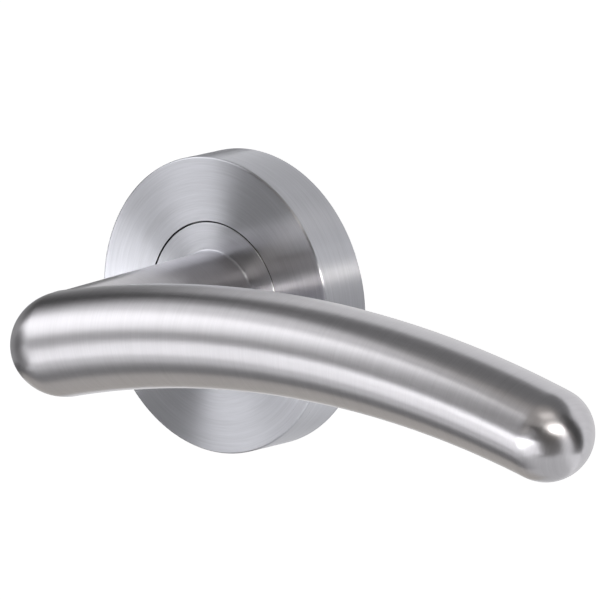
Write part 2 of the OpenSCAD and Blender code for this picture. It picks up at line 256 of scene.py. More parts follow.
# ---------------------------------------------------------------------------
# Finishes
# ---------------------------------------------------------------------------

class Lay(Enum):
    """Which way the marks of finishing run over a surface."""

    ROUND_BAR = "across the bar, all round it"
    TURNED = "circles about the spindle's axis"
    DRAWN = "straight along the spindle's axis"
    TUMBLED = "every way"


@dataclass(frozen=True)
class BarPath:
    """The arc that the bar's centre line follows, as materials need it.

    Attributes:
        middle: Place of the arc's top along the lever.
        centre: Height of the arc's centre, which is far below the handle.
        radius: Radius of the arc.
        out: Distance of the centre line from the door.
    """

    middle: float
    centre: float
    radius: float
    out: float


@dataclass(frozen=True)
class MetalFinish:
    """A metal surface with fine marks.

    Attributes:
        name: Name of the material.
        colour: Linear colour of the metal.
        roughness: Mean roughness.
        anisotropy: How much more the marks blur across than along.
        pitch: Width of a mark.
        length: Length of a mark.
        streak: Change of colour between marks.
        flutter: Change of roughness between marks.
        relief: Depth of the marks as the light sees them.
        lay: Which way the marks run.
        path: The bar's path, for marks that run round it.
    """

    name: str
    colour: tuple[float, float, float]
    roughness: float = 0.285
    anisotropy: float = 1.0
    pitch: float = 0.3
    length: float = 8.0
    streak: float = 0.14
    flutter: float = 0.015
    relief: float = 0.0
    lay: Lay = Lay.TURNED
    path: "BarPath | None" = None

    # Marks and waves are scaled in the grain, clouds in the object's metres. The shares say how
    # strong each is, next to the streaks. Circles about the axis stop at NEAR_AXIS, in mm.
    MARKS, WAVES, CLOUDS = 1.0, 0.15, 90.0
    MARK_SHARE, WAVE_SHARE, CLOUD_SHARE = 2.0, 1.0, 0.5
    SHARPNESS = 0.6
    MARKS_PER_TURN = 20
    NEAR_AXIS = 0.01

    @cache
    def material(self) -> bpy.types.Material:
        """Builds the material, once for each finish.

        Returns:
            A material whose patterns read Object coordinates.
        """
        made, tree = new_material(self.name)
        place = add_node(tree, "ShaderNodeTexCoord")
        spread, grain = self._lay_of(tree, place.outputs["Object"], place.outputs["Normal"])
        marks = noise(tree, grain, self.MARKS, detail=2.0, roughness=self.SHARPNESS)
        waves = noise(tree, grain, self.WAVES, detail=1.0, roughness=self.SHARPNESS)
        clouds = noise(tree, place.outputs["Object"], self.CLOUDS)
        shade = (1.0 + (marks - NOISE_MIDDLE) * (self.MARK_SHARE * self.streak)
                 + (waves - NOISE_MIDDLE) * (self.WAVE_SHARE * self.streak)
                 + (clouds - NOISE_MIDDLE) * (self.CLOUD_SHARE * self.streak))
        rough = (self.roughness + (marks - NOISE_MIDDLE) * (self.MARK_SHARE * self.flutter)
                 + (clouds - NOISE_MIDDLE) * self.flutter)
        feed(tree, SHADER, Base_Color=self._tinted(tree, shade), Roughness=rough, Metallic=1.0,
             Anisotropic=self.anisotropy)
        if spread is not None:
            feed(tree, SHADER, Tangent=self._in_world(tree, spread))
        emboss(tree, marks, self.relief, self.pitch)
        return made

    def _lay_of(self, tree: Tree, place: Socket, normal: Socket) -> "tuple[Socket | None, Socket]":
        """The direction across the marks, and the coordinates in which they are thin."""
        x, y, z = (part / MM for part in split(tree, place))
        thin, long = 1.0 / self.pitch, 1.0 / self.length
        turn = self.MARKS_PER_TURN * long
        reach = (x * x + z * z).math("SQRT").math("MAXIMUM", self.NEAR_AXIS)
        round_axis = joined(tree, 0.0 - z / reach, 0.0, x / reach)
        turned_grain = joined(tree, (reach - y) * thin, x / reach * turn, z / reach * turn)
        if self.lay is Lay.TURNED:
            return vector_math(tree, "CROSS_PRODUCT", round_axis, normal), turned_grain
        if self.lay is Lay.DRAWN:
            along = joined(tree, 0.0, 1.0, 0.0)
            return (vector_math(tree, "CROSS_PRODUCT", along, normal),
                    joined(tree, x * thin, y * long, z * thin))
        if self.lay is Lay.TUMBLED:
            return None, joined(tree, x * thin, y * thin, z * thin)
        side, rise = x - self.path.middle, z - self.path.centre
        far = (side * side + rise * rise).math("SQRT")
        along_bar = joined(tree, rise / far, 0.0, 0.0 - side / far)
        run = side.math("ARCTAN2", rise) * self.path.radius
        bar_grain = joined(tree, run * thin, (y + self.path.out) * long,
                           (far - self.path.radius) * long)
        share = add_node(tree, "ShaderNodeAttribute")
        share.attribute_name = Lever.NECK_SHARE
        neck = Field(tree, share.outputs["Fac"])
        on_neck = neck.math("GREATER_THAN", 0.5)
        along_neck = joined(tree, 0.0, 1.0, 0.0)
        return (vector_mix(tree, neck, along_bar, along_neck),
                vector_mix(tree, on_neck, bar_grain, turned_grain))

    @staticmethod
    def _in_world(tree: Tree, vector: Socket) -> Socket:
        """Turns an object's direction to the world's, so that it follows a pose."""
        node = add_node(tree, "ShaderNodeVectorTransform", Vector=vector)
        node.vector_type = "VECTOR"
        node.convert_from = "OBJECT"
        node.convert_to = "WORLD"
        return node.outputs[0]

    def _tinted(self, tree: Tree, shade: Field) -> Socket:
        """The metal's colour, times a shade."""
        red, green, blue = (shade * level for level in self.colour)
        mixed = add_node(tree, "ShaderNodeCombineColor", Red=red, Green=green, Blue=blue)
        return mixed.outputs[0]


@dataclass(frozen=True)
class PlasticFinish:
    """A moulded plastic surface.

    Attributes:
        name: Name of the material.
        colour: Linear colour.
        roughness: Mean roughness.
        grain: Size of the mould's texture.
        flutter: Change of roughness over that texture.
        relief: How much of the texture the light sees.
        depth: Depth of the texture.
    """

    name: str
    colour: tuple[float, float, float]
    roughness: float = 0.45
    grain: float = 0.4
    flutter: float = 0.2
    relief: float = 0.15
    depth: float = 0.1

    @cache
    def material(self) -> bpy.types.Material:
        """Builds the material, once for each finish."""
        made, tree = new_material(self.name)
        place = add_node(tree, "ShaderNodeTexCoord").outputs["Object"]
        pores = noise(tree, place, 1 / (MM * self.grain))
        feed(tree, SHADER, Base_Color=(*self.colour, 1.0),
             Roughness=self.roughness + (pores - NOISE_MIDDLE) * self.flutter)
        emboss(tree, pores, self.relief, self.depth)
        return made


Finish = MetalFinish | PlasticFinish


@dataclass(frozen=True)
class Finishes:
    """The finish of every piece.

    Attributes:
        grip: Brushed steel of the bar and the neck.
        rose: Brushed steel of the cover and the flange.
        turned: Turned steel.
        plated: Zinc plating on pressed parts.
        drawn: Zinc plating on drawn parts.
        black: Black oxide on steel.
        spring: Spring steel.
        casting: Zinc die-casting.
        painted_gap_shade: Painted shade: a dark finish on the walls of the gap between the cover
            and the flange, where shade falls.
        nylon: Moulded nylon.
    """

    grip: MetalFinish
    rose: MetalFinish = MetalFinish("brushed_rose", (0.577, 0.582, 0.624))
    turned: MetalFinish = MetalFinish("turned_steel", (0.42, 0.42, 0.43), 0.3, 0.8, 0.25)
    plated: MetalFinish = MetalFinish(
        "zinc_plating", (0.55, 0.56, 0.60), 0.36, 0.3, pitch=0.5, length=1.0,
        streak=0.1, flutter=0.06, relief=0.01, lay=Lay.TUMBLED)
    drawn: MetalFinish = MetalFinish(
        "drawn_plating", (0.55, 0.56, 0.60), 0.34, 0.8, length=20.0,
        streak=0.08, flutter=0.05, relief=0.01, lay=Lay.DRAWN)
    black: MetalFinish = MetalFinish(
        "black_oxide", (0.045, 0.045, 0.05), 0.42, 0.2, length=1.0,
        streak=0.2, flutter=0.06, relief=0.02, lay=Lay.TUMBLED)
    spring: MetalFinish = MetalFinish(
        "spring_steel", (0.33, 0.33, 0.34), 0.3, 0.5, pitch=0.2, length=1.0,
        streak=0.12, flutter=0.05, relief=0.01, lay=Lay.TUMBLED)
    casting: MetalFinish = MetalFinish(
        "zinc_casting", (0.40, 0.405, 0.42), 0.5, 0.0, pitch=0.6, length=0.6,
        streak=0.16, flutter=0.08, relief=0.12, lay=Lay.TUMBLED)
    # Painted shade: a dark steel colour that stands for the shade in the gap between cover and
    # flange.
    painted_gap_shade: MetalFinish = MetalFinish(
        "painted_gap_shade", (0.07, 0.07, 0.075), 0.5, 0.0, length=1.0,
        streak=0.1, flutter=0.05, relief=0.01, lay=Lay.TUMBLED)
    nylon: PlasticFinish = PlasticFinish("nylon", (0.74, 0.70, 0.60))


# ---------------------------------------------------------------------------
# Meshes
# ---------------------------------------------------------------------------

def new_piece(name: str, points: np.ndarray, faces: "list | np.ndarray") -> Piece:
    """A linked mesh object at the origin.

    Args:
        name: Name of the piece.
        points: Its points, in millimetres.
        faces: Its faces, as lists of point numbers.

    Returns:
        The object.
    """
    mesh = bpy.data.meshes.new(name)
    mesh.from_pydata((np.asarray(points) * MM).tolist(), [], np.asarray(faces).tolist())
    piece = bpy.data.objects.new(name, mesh)
    bpy.context.scene.collection.objects.link(piece)
    return piece


def values_of(items: bpy.types.bpy_prop_collection, name: str, width: int,
              kind: type = float) -> np.ndarray:
    """A property of all points, corners or faces of a mesh.

    Args:
        items: The points, corners or faces.
        name: The property.
        width: How many numbers each of them has.
        kind: The kind of number.

    Returns:
        A row for each of them.
    """
    values = np.empty(len(items) * width, kind)
    items.foreach_get(name, values)
    return values.reshape(-1, width)


def outward(piece: Piece) -> Piece:
    """Merges doubles and turns all faces outwards, then shades the piece smooth."""
    shape = bmesh.new()
    shape.from_mesh(piece.data)
    bmesh.ops.remove_doubles(shape, verts=shape.verts, dist=SAME_POINT)
    bmesh.ops.recalc_face_normals(shape, faces=shape.faces)
    shape.to_mesh(piece.data)
    shape.free()
    piece.data.shade_smooth()
    piece.data.set_sharp_from_angle(angle=SMOOTH_ANGLE)
    return piece


def rounded(corners: list[tuple[float, float, float]], steps: int = 5,
            margin: float = 0.05) -> np.ndarray:
    """Rounds the corners of a closed outline.

    Args:
        corners: Radius, out and rounding of each corner, in order.
        steps: Number of points on a rounding, less one.
        margin: Distance beyond a rounding of the extra point that keeps its faces flat.

    Returns:
        The outline's points.
    """
    points = []
    count = len(corners)
    for i, (x, y, radius) in enumerate(corners):
        here = np.array([x, y])
        back = np.array(corners[i - 1][:2]) - here
        onward = np.array(corners[(i + 1) % count][:2]) - here
        back /= np.linalg.norm(back)
        onward /= np.linalg.norm(onward)
        if radius == 0:
            points.append(here)
            continue
        half = math.acos(float(back @ onward)) / 2
        cut = radius / math.tan(half)
        middle = (back + onward) / np.linalg.norm(back + onward) * radius / math.sin(half)
        start, end = back * cut - middle, onward * cut - middle
        points.append(here + back * (cut + margin))
        for k in range(steps + 1):
            turn = start * (1 - k / steps) + end * (k / steps)
            points.append(here + middle + turn / np.linalg.norm(turn) * radius)
        points.append(here + onward * (cut + margin))
    return np.array(points)


def lathe(name: str, outline: np.ndarray, turns: int = 240) -> Piece:
    """A solid of revolution about the spindle's axis.

    Args:
        name: Name of the piece.
        outline: Closed outline of (radius, out) points.
        turns: Number of steps round the axis.

    Returns:
        The piece.
    """
    angle = np.linspace(0, 2 * math.pi, turns, endpoint=False)
    radius, out = outline[:, 0], outline[:, 1]
    points = np.stack([np.outer(np.cos(angle), radius),
                       np.tile(-out, (turns, 1)),
                       np.outer(np.sin(angle), radius)], -1).reshape(-1, 3)
    count = len(outline)
    i, k = np.meshgrid(np.arange(turns), np.arange(count), indexing="ij")
    j, m = (i + 1) % turns, (k + 1) % count
    faces = np.stack([i * count + k, j * count + k, j * count + m, i * count + m], -1)
    return outward(new_piece(name, points, faces.reshape(-1, 4)))


def from_shape(name: str, shape: bmesh.types.BMesh) -> Piece:
    """A piece made of a bmesh in metres, which is freed."""
    piece = new_piece(name, np.zeros((0, 3)), [])
    shape.to_mesh(piece.data)
    shape.free()
    return piece


def apply(piece: Piece, modifier: bpy.types.Modifier) -> None:
    """Makes the result of a piece's only modifier the piece's own mesh."""
    solid = piece.evaluated_get(bpy.context.evaluated_depsgraph_get())
    mesh = bpy.data.meshes.new_from_object(solid)
    piece.modifiers.remove(modifier)
    piece.data = mesh


def cut(piece: Piece, tool: Piece) -> None:
    """Takes a closed tool away from a closed piece, and deletes the tool."""
    modifier = piece.modifiers.new("cut", "BOOLEAN")
    modifier.operation = "DIFFERENCE"
    modifier.solver = "EXACT"
    modifier.object = tool
    apply(piece, modifier)
    bpy.data.objects.remove(tool)


def drill(radius: float, start: Vector, end: Vector, sides: int = 64) -> Piece:
    """A round tool from one point to another, in millimetres."""
    shape = bmesh.new()
    bmesh.ops.create_cone(shape, cap_ends=True, segments=sides, radius1=radius, radius2=radius,
                          depth=(end - start).length)
    turn = (end - start).to_track_quat("Z", "Y").to_matrix().to_4x4()
    turn.translation = (start + end) / 2
    shape.transform(turn)
    shape.transform(Matrix.Scale(MM, 4))
    return from_shape("tool", shape)


def block(low: tuple, high: tuple) -> Piece:
    """A box-shaped tool between two corners, in millimetres."""
    shape = bmesh.new()
    bmesh.ops.create_cube(shape, size=1.0)
    size, middle = Vector(high) - Vector(low), (Vector(high) + Vector(low)) / 2
    for vertex in shape.verts:
        vertex.co = (vertex.co * size + middle) * MM
    return from_shape("tool", shape)


def softened(name: str, node: str, edge: float) -> Piece:
    """A copy of a CAD node with its sharp edges broken.

    Args:
        name: Name of the piece.
        node: The CAD node.
        edge: Width of the broken edges.

    Returns:
        The piece.
    """
    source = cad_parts[node]
    shape = bmesh.new()
    shape.from_mesh(source.data)
    shape.transform(source.matrix_world)
    bmesh.ops.remove_doubles(shape, verts=shape.verts, dist=10 * SAME_POINT)
    bmesh.ops.dissolve_limit(shape, angle_limit=FLAT_ANGLE, verts=shape.verts,
                             edges=shape.edges)
    sharp = [e for e in shape.edges if e.is_manifold and e.calc_face_angle() > SMOOTH_ANGLE]
    bmesh.ops.bevel(shape, geom=sharp, offset=edge * MM, segments=2, affect="EDGES",
                    clamp_overlap=True)
    return outward(from_shape(name, shape))


def surface_net(distance: Distance, low: Vector, high: Vector,
                cell: float) -> tuple[np.ndarray, np.ndarray]:
    """Quads on the zero level of a distance function.

    Args:
        distance: Takes points (..., 3) and gives signed distances, negative inside.
        low: Lowest corner of the region.
        high: Highest corner of the region.
        cell: Size of a grid cell.

    Returns:
        Points and quads, which face outwards.
    """
    axes = [np.arange(a, b + cell, cell) for a, b in zip(low, high)]
    inside = distance(np.stack(np.meshgrid(*axes, indexing="ij"), -1)) < 0
    near = [slice(None, -1), slice(1, None)]
    corners = sum(inside[a, b, c].astype(int) for a in near for b in near for c in near)
    mixed = (corners > 0) & (corners < 8)
    number = np.full(mixed.shape, -1)
    number[mixed] = np.arange(mixed.sum())
    points = (np.argwhere(mixed) + 0.5) * cell + np.array([axis[0] for axis in axes])
    quads = []
    for axis in range(3):
        grid, cells = np.moveaxis(inside, axis, 0), np.moveaxis(number, axis, 0)
        one, two = grid[:-1, 1:-1, 1:-1], grid[1:, 1:-1, 1:-1]
        ring = np.stack([cells[:, :-1, :-1], cells[:, 1:, :-1],
                         cells[:, 1:, 1:], cells[:, :-1, 1:]], -1)
        for crossing, order in ((one & ~two, 1), (~one & two, -1)):
            quads.append(ring[crossing][:, ::order if axis != 1 else -order])
    return settle(distance, points), np.concatenate(quads)


def slope(distance: Distance, points: np.ndarray, step: float = 0.01) -> np.ndarray:
    """Gradient of a distance function at points."""
    shift = np.eye(3) * step
    return np.stack([distance(points + s) - distance(points - s) for s in shift], -1) / (2 * step)


def settle(distance: Distance, points: np.ndarray, rounds: int = 6) -> np.ndarray:
    """Moves points onto the zero level of a distance function."""
    for _ in range(rounds):
        steep = slope(distance, points)
        stride = distance(points) / np.maximum((steep ** 2).sum(-1), TINY ** 2)
        points = points - steep * stride[:, None]
    return points


def dress(piece: Piece, finish: Finish, body: str, slot: str, *nodes: str) -> Piece:
    """Gives a piece its material and body, and hides the CAD nodes that it stands for.

    Args:
        piece: The piece.
        finish: Its finish.
        body: The body that it moves with.
        slot: Not used.
        nodes: The CAD nodes that it replaces.

    Returns:
        The same piece.
    """
    piece.data.materials.clear()
    piece.data.materials.append(finish.material())
    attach(piece, body)
    if nodes:
        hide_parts(*nodes)
    LOG.info("%s: %d faces, on %s, for %s", piece.name, len(piece.data.polygons), body,
             ", ".join(nodes) or "no node")
    return piece


def dress_nodes(body: str, *rows: tuple[str, str, float, Finish, str]) -> None:
    """Breaks the edges of CAD nodes and dresses them.

    Args:
        body: The body that they move with.
        rows: Name of the piece, node, width of the broken edges, finish and slot.
    """
    for name, node, edge, finish, slot in rows:
        dress(softened(name, node, edge), finish, body, slot, node)


def paint_gap_shade(piece: Piece, finish: MetalFinish, inner: float, outer: float) -> None:
    """Paints shade on the walls of a turned piece that lie between two radii, as a second, dark
    finish.
    """
    piece.data.materials.append(finish.material())
    for face in piece.data.polygons:
        radius = math.hypot(face.center.x, face.center.z) / MM
        if inner < radius < outer:
            face.material_index = 1


class Growth:
    """A geometry-node recipe with named sizes, which runs once and leaves a plain mesh."""

    def __init__(self, name: str) -> None:
        """Starts an empty recipe.

        Args:
            name: Name of the recipe and of its piece.
        """
        self.name = name
        self.tree = bpy.data.node_groups.new(name, "GeometryNodeTree")
        self.tree.interface.new_socket("Shape", in_out="OUTPUT", socket_type="NodeSocketGeometry")
        self.entry = self.node("NodeGroupInput")
        self.values: dict[str, float] = {}

    def sizes(self, **values: float) -> list[Field]:
        """Adds named sizes, in millimetres or degrees.

        Args:
            values: The sizes, by the names of their inputs.

        Returns:
            What flows out of each input, in the same order.
        """
        for name, value in values.items():
            item = self.tree.interface.new_socket(
                name, in_out="INPUT", socket_type="NodeSocketFloat")
            self.values[item.identifier] = float(value)
        return [Field(self.tree, self.entry.outputs[name]) for name in values]

    def node(self, kind: str, **inputs: object) -> Node:
        """Adds a node and feeds its inputs."""
        return add_node(self.tree, kind, **inputs)

    def path(self, points: int, closed: bool = False) -> tuple[Socket, Field]:
        """Starts a path.

        Args:
            points: Number of its points.
            closed: Whether it ends where it starts.

        Returns:
            The curve, and the share of it that lies before each point.
        """
        if closed:
            curve = self.node("GeometryNodeCurvePrimitiveCircle", Resolution=points).outputs[0]
        else:
            line = self.node("GeometryNodeCurvePrimitiveLine").outputs[0]
            curve = self.node("GeometryNodeResampleCurve", Curve=line, Count=points).outputs[0]
        share = self.node("GeometryNodeSplineParameter").outputs["Factor"]
        return curve, Field(self.tree, share)

    def bend(self, curve: Socket, x: Field, out: Field, z: Field) -> Socket:
        """Moves the path's points to a place given in millimetres."""
        place = joined(self.tree, x * MM, out * -MM, z * MM)
        held = self.node("GeometryNodeSetPosition", Geometry=curve, Position=place).outputs[0]
        normal = self.node("GeometryNodeSetCurveNormal", Curve=held)
        normal.mode = "FREE"
        return feed(self.tree, normal, Normal=(0, 1, 0)).outputs[0]

    def sweep(self, curve: Socket, profile: Socket) -> Socket:
        """Draws a closed profile along a path, with closed ends."""
        return self.node("GeometryNodeCurveToMesh", Curve=curve, Profile_Curve=profile,
                         Fill_Caps=True).outputs[0]

    def round_profile(self, radius: Field, points: int = 20) -> Socket:
        """A wire's section."""
        return self.node("GeometryNodeCurvePrimitiveCircle", Resolution=points,
                         Radius=radius * MM).outputs[0]

    def flat_profile(self, width: Field, height: Field, corner: float = 0.06,
                     points: int = 48) -> Socket:
        """A strip's section, with its corners rounded."""
        box = self.node("GeometryNodeCurvePrimitiveQuadrilateral", Width=width * MM,
                        Height=height * MM).outputs[0]
        soft = self.node("GeometryNodeFilletCurve", Curve=box, Radius=corner * MM)
        soft.mode = "BEZIER"
        return self.node("GeometryNodeResampleCurve", Curve=soft.outputs[0],
                         Count=points).outputs[0]

    def finish(self, shape: Socket, finish: Finish, body: str, slot: str, *nodes: str) -> Piece:
        """Runs the recipe and dresses what it grew.

        Args:
            shape: The last geometry socket.
            finish: The finish of the piece.
            body: The body that it moves with.
            slot: The record's material slot.
            nodes: The CAD nodes that it replaces.

        Returns:
            The piece, as a plain mesh at the origin.
        """
        real = self.node("GeometryNodeRealizeInstances", Geometry=shape).outputs[0]
        self.node("NodeGroupOutput", Shape=real)
        piece = new_piece(self.name, np.zeros((1, 3)), [])
        modifier = piece.modifiers.new("grow", "NODES")
        modifier.node_group = self.tree
        for identifier, value in self.values.items():
            modifier[identifier] = value
        apply(piece, modifier)
        return dress(outward(piece), finish, body, slot, *nodes)


# ---------------------------------------------------------------------------
# The lever
# ---------------------------------------------------------------------------

@dataclass
class Lever:
    """The bar with its domed ends, the neck that is welded to it, and the neck's flange.

    Attributes:
        grip_out: Distance of the bar's centre line from the door.
        grip_start: Where the bar leaves its near dome, from the spindle's axis.
        grip_end: Where the bar meets its far dome.
        grip_bow: Rise of the bar's middle above its ends.
        near_size: Height and depth of the bar at its near end.
        far_size: Height and depth of the bar at its far end.
        near_dome: Length of the near dome.
        far_dome: Length of the far dome.
        neck_rose_d: Diameter of the neck at the rose.
        neck_grip_d: Diameter of the neck at the bar's centre line.
        neck_round: Rounding of the neck's outer end.
        neck_bore_d: Diameter of the neck's bore.
        bore_end: Where the bore ends, from the door.
        grub_d: Diameter of the grub screw under the neck.
        grub_out: Distance of the grub screw from the door.
        grub_ease: Gap round the grub screw.
        weld: Radius over which the weld is ground smooth.
        cell: Mesh size of the ground surface.
        margin: Room round the shape in the grid of cells.
        skin: How near to the ground surface a face lies that takes its normals.
        rose_t: Height of the rose's face, where the neck starts.
        foot_depth: How far the neck reaches below that face.
        foot_fillet: Fillet round the neck's foot.
        foot_rim: Height of the straight rim above that fillet.
        flange_lip: How far the flange reaches in under the neck.
        flange_bevel: Bevel round the flange's face.
        flange_back: Rounding of the flange's hidden edge.
    """

    grip_out: float = 50.2
    grip_start: float = 2.4
    grip_end: float = 109.3
    grip_bow: float = 6.8
    near_size: tuple[float, float] = (18.1, 18.2)
    far_size: tuple[float, float] = (16.0, 16.4)
    near_dome: float = 10.2
    far_dome: float = 7.8
    neck_rose_d: float = 19.1
    neck_grip_d: float = 16.3
    neck_round: float = 3.0
    neck_bore_d: float = 14.0
    bore_end: float = 35.0
    grub_d: float = 5.0
    grub_out: float = 22.0
    grub_ease: float = 0.1
    weld: float = 1.5
    cell: float = 0.6
    margin: float = 2.0
    skin: float = 0.06
    rose_t: float = 10.0
    foot_depth: float = 0.8
    foot_fillet: float = 0.3
    foot_rim: float = 0.1
    flange_lip: float = 1.5
    flange_bevel: float = 0.2
    flange_back: float = 0.1

    BODY = "lever"
    NECK_SHARE = "neck_share"

    def __post_init__(self) -> None:
        """Works out the bar's arc."""
        chord = self.grip_end - self.grip_start
        radius = (chord ** 2 / 4 + self.grip_bow ** 2) / (2 * self.grip_bow)
        self.half_angle = math.asin(chord / 2 / radius)
        self.path = BarPath((self.grip_start + self.grip_end) / 2,
                            -radius * math.cos(self.half_angle), radius, self.grip_out)

    def bar_distance(self, points: np.ndarray) -> np.ndarray:
        """Signed distance from the bar and its two domes."""
        side = points[..., 0] - self.path.middle
        rise = points[..., 2] - self.path.centre
        depth = -points[..., 1] - self.grip_out
        angle = np.arctan2(side, rise)
        held = np.clip(angle, -self.half_angle, self.half_angle)
        share = (held + self.half_angle) / (2 * self.half_angle)
        across = side * np.sin(held) + rise * np.cos(held) - self.path.radius
        beyond = side * np.cos(held) - rise * np.sin(held)
        beyond = np.where(angle == held, 0.0, beyond)
        length = np.where(angle > 0, self.far_dome, self.near_dome)
        height = (self.near_size[0] + (self.far_size[0] - self.near_size[0]) * share) / 2
        width = (self.near_size[1] + (self.far_size[1] - self.near_size[1]) * share) / 2
        form = np.sqrt((beyond / length) ** 2 + (across / height) ** 2 + (depth / width) ** 2)
        steep = np.sqrt((beyond / length ** 2) ** 2 + (across / height ** 2) ** 2
                        + (depth / width ** 2) ** 2) / np.maximum(form, TINY)
        return (form - 1) / np.maximum(steep, TINY)

    def neck_distance(self, points: np.ndarray) -> np.ndarray:
        """Signed distance from the neck, with its rounded outer end."""
        out = -points[..., 1]
        reach = np.hypot(points[..., 0], points[..., 2])
        share = (out - self.rose_t) / (self.grip_out - self.rose_t)
        radius = (self.neck_rose_d + (self.neck_grip_d - self.neck_rose_d) * share) / 2
        side = reach - radius + self.neck_round
        end = out - self.grip_out + self.neck_round
        rounding = np.hypot(np.maximum(side, 0), np.maximum(end, 0)) - self.neck_round
        body = np.minimum(np.maximum(side, end), 0) + rounding
        return np.maximum(body, self.rose_t - self.foot_depth - out)

    def distance(self, points: np.ndarray) -> np.ndarray:
        """Signed distance from bar and neck together, with the weld ground smooth."""
        bar, neck = self.bar_distance(points), self.neck_distance(points)
        gap = np.maximum(self.weld - np.abs(bar - neck), 0)
        return np.minimum(bar, neck) - gap ** 2 / (4 * self.weld)

    def make_handle(self, finish: MetalFinish) -> Piece:
        """Builds bar, domes and neck as the one skin that welding and grinding leave.

        Args:
            finish: The steel's finish.

        Returns:
            The piece.
        """
        boxes = [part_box(node) for node in ("near_end_cap", "far_end_cap", "neck", "grip_bar")]
        margin = Vector([self.margin] * 3)
        low = Vector(map(min, *(box[0] for box in boxes))) / MM - margin
        high = Vector(map(max, *(box[1] for box in boxes))) / MM + margin
        points, quads = surface_net(self.distance, low, high, self.cell)
        piece = new_piece("handle", points, quads)
        cut(piece, drill(self.neck_bore_d / 2, Vector((0, 2 * OVERCUT - self.rose_t, 0)),
                         Vector((0, -self.bore_end, 0))))
        cut(piece, drill(self.grub_d / 2 + self.grub_ease, Vector((0, -self.grub_out, 0)),
                         Vector((0, -self.grub_out, -self.neck_rose_d))))
        self._smooth(piece)
        return dress(piece, finish, self.BODY, "grip_stainless",
                     "grip_bar", "near_end_cap", "far_end_cap", "neck")

    def _smooth(self, piece: Piece) -> None:
        """Gives the skin its true normals, and the share of the neck for its marks."""
        mesh = piece.data
        mesh.shade_smooth()
        points = values_of(mesh.vertices, "co", 3) / MM
        normals = slope(self.distance, points)
        normals /= np.linalg.norm(normals, axis=1, keepdims=True)
        corners = values_of(mesh.loops, "vertex_index", 1, int)[:, 0]
        times = values_of(mesh.polygons, "loop_total", 1, int)[:, 0]
        flats = values_of(mesh.polygons, "normal", 3)
        depth = np.abs(self.distance(values_of(mesh.polygons, "center", 3) / MM))
        skin = np.repeat(depth < self.skin, times)[:, None]
        flat = np.repeat(flats, times, axis=0)
        mesh.normals_split_custom_set(np.where(skin, normals[corners], flat).tolist())
        share = mesh.attributes.new(self.NECK_SHARE, "FLOAT", "POINT")
        clear_of_bar = np.clip(self.bar_distance(points) / self.weld, 0, 1)
        share.data.foreach_set("value", clear_of_bar.astype(np.float32))

    def make_flange(self, finishes: Finishes) -> Piece:
        """Builds the disc that fills the cover's hole, with the fillet round the neck's foot.

        Its bevel is brushed steel next to the face only; its other half and its side carry painted
        shade for the gap round it.

        Args:
            finishes: The finishes.

        Returns:
            The piece.
        """
        low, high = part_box("neck_flange")
        radius, back, front = high.x / MM, -high.y / MM, -low.y / MM
        neck, bevel = self.neck_rose_d / 2, self.flange_bevel
        bore, foot = neck - self.flange_lip, front + self.foot_fillet + self.foot_rim
        outline = rounded([(bore, back, 0), (radius, back, self.flange_back),
                           (radius, front - bevel, BROKEN_EDGE),
                           (radius - bevel / 2, front - bevel / 2, 0),
                           (radius - bevel, front, BROKEN_EDGE),
                           (neck, front, self.foot_fillet), (neck, foot, 0), (bore, foot, 0)])
        flange = lathe("flange", outline)
        dress(flange, finishes.rose, self.BODY, "rose_stainless", "neck_flange")
        # Painted shade: the outer half of the bevel and the side are dark where the gap's shade
        # falls.
        paint_gap_shade(flange, finishes.painted_gap_shade, radius - bevel / 2, radius)
        return flange


# ---------------------------------------------------------------------------
# The rose
# ---------------------------------------------------------------------------

@dataclass
class Rose:
    """The pressed cover that snaps over the mounting plate.

    Attributes:
        wall: Wall of the cover.
        edge: Rounding round its face.
        back_edge: Rounding of its outer back edge.
        hole_d: Diameter of its hole.
        hole_edge: Rounding of the hole's edges, and of the wall's inner back edge.
        inner_round: Rounding in its inner corner, as pressing leaves it.
        notch_w: Width of the notch in its back edge.
        notch_h: Height of that notch.
    """

    wall: float = 1.2
    edge: float = 0.35
    back_edge: float = 0.12
    hole_d: float = 29.5
    hole_edge: float = 0.08
    inner_round: float = 0.6
    notch_w: float = 6.0
    notch_h: float = 1.2

    def make_cover(self, finishes: Finishes) -> Piece:
        """Builds the cover, with its notch, and painted shade on the wall of its hole.

        Args:
            finishes: The finishes.

        Returns:
            The piece.
        """
        low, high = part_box("rose_cover")
        radius, front = high.x / MM, -low.y / MM
        inner, hole = radius - self.wall, self.hole_d / 2
        outline = rounded([(inner, 0, self.hole_edge), (radius, 0, self.back_edge),
                           (radius, front, self.edge), (hole, front, self.hole_edge),
                           (hole, front - self.wall, self.hole_edge),
                           (inner, front - self.wall, self.inner_round)])
        cover = lathe("cover", outline, turns=300)
        half = self.notch_w / 2
        cut(cover, block((-half, -self.notch_h, -radius - OVERCUT),
                         (half, OVERCUT, -inner + OVERCUT)))
        cover.data.set_sharp_from_angle(angle=SMOOTH_ANGLE)
        dress(cover, finishes.rose, "cover", "rose_stainless", "rose_cover")
        # Painted shade: the hole's wall is dark where the gap's shade falls.
        paint_gap_shade(cover, finishes.painted_gap_shade, hole - BROKEN_EDGE, hole + BROKEN_EDGE)
        return cover


# ---------------------------------------------------------------------------
# The mechanism and the fixing plate
# ---------------------------------------------------------------------------

